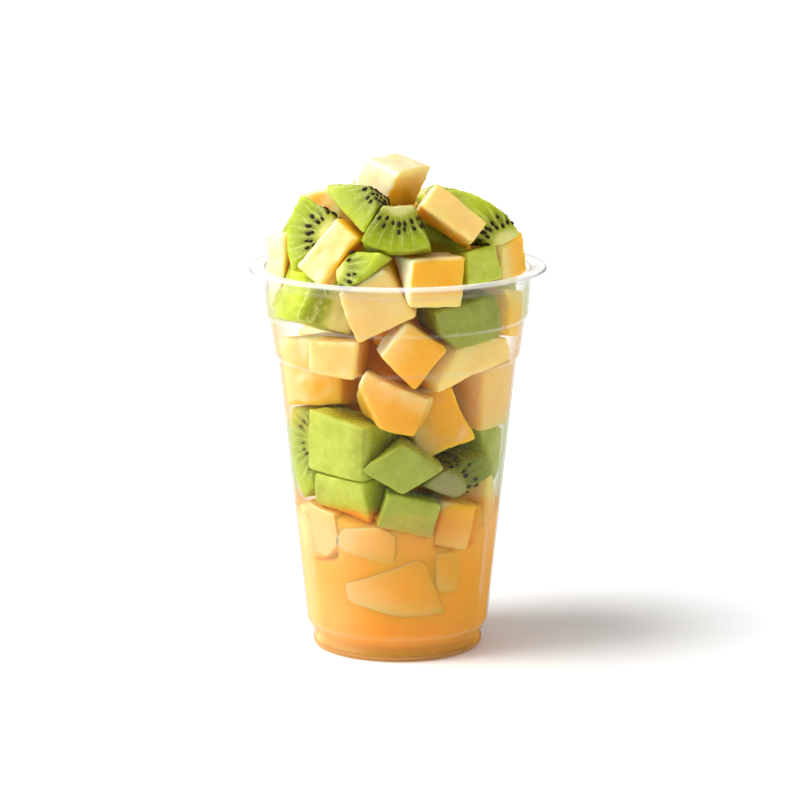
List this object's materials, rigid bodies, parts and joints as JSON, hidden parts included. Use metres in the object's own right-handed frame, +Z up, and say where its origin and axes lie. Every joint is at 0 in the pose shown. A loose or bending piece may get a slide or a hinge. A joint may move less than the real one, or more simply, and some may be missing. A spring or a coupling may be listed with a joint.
{
  "type": "fruit cup",
  "caption": "Clear tapered takeaway cup with a rolled lip, heaped above its rim with melon and kiwi chunks standing in a little orange juice.",
  "frame": {"origin": "centre of the cup's foot ring, on the surface that the cup stands on", "axes": "+Z up along the cup's axis; the side shown faces -Y; +X to the right as seen from that side"},
  "size_m": [0.095, 0.095, 0.1596],
  "materials": {
    "cup": "clear, polished",
    "juice": "cloudy liquid",
    "melon": "wet, soft satin",
    "kiwi": "wet, soft satin"
  },
  "bodies": {
    "root": {"cup": "cup", "juice": "juice", "kiwi_chunk_01": "kiwi", "kiwi_chunk_02": "kiwi", "kiwi_chunk_03": "kiwi", "kiwi_chunk_04": "kiwi", "kiwi_chunk_05": "kiwi", "kiwi_chunk_06": "kiwi", "kiwi_chunk_07": "kiwi", "kiwi_chunk_08": "kiwi", "kiwi_chunk_09": "kiwi", "kiwi_chunk_10": "kiwi", "kiwi_chunk_11": "kiwi", "kiwi_chunk_12": "kiwi", "kiwi_chunk_13": "kiwi", "kiwi_chunk_14": "kiwi", "kiwi_chunk_15": "kiwi", "kiwi_chunk_16": "kiwi", "kiwi_chunk_17": "kiwi", "kiwi_chunk_18": "kiwi", "kiwi_chunk_19": "kiwi", "kiwi_chunk_20": "kiwi", "kiwi_chunk_21": "kiwi", "kiwi_chunk_22": "kiwi", "kiwi_chunk_23": "kiwi", "kiwi_chunk_24": "kiwi", "kiwi_chunk_25": "kiwi", "kiwi_chunk_26": "kiwi", "kiwi_chunk_27": "kiwi", "melon_chunk_01": "melon", "melon_chunk_02": "melon", "melon_chunk_03": "melon", "melon_chunk_04": "melon", "melon_chunk_05": "melon", "melon_chunk_06": "melon", "melon_chunk_07": "melon", "melon_chunk_08": "melon", "melon_chunk_09": "melon", "melon_chunk_10": "melon", "melon_chunk_11": "melon", "melon_chunk_12": "melon", "melon_chunk_13": "melon", "melon_chunk_14": "melon", "melon_chunk_15": "melon", "melon_chunk_16": "melon", "melon_chunk_17": "melon", "melon_chunk_18": "melon", "melon_chunk_19": "melon", "melon_chunk_20": "melon", "melon_chunk_21": "melon", "melon_chunk_22": "melon", "melon_chunk_23": "melon", "melon_chunk_24": "melon", "melon_chunk_25": "melon", "melon_chunk_26": "melon", "melon_chunk_27": "melon", "melon_chunk_28": "melon", "melon_chunk_29": "melon", "melon_chunk_30": "melon", "melon_chunk_31": "melon"}
  },
  "joints": []
}
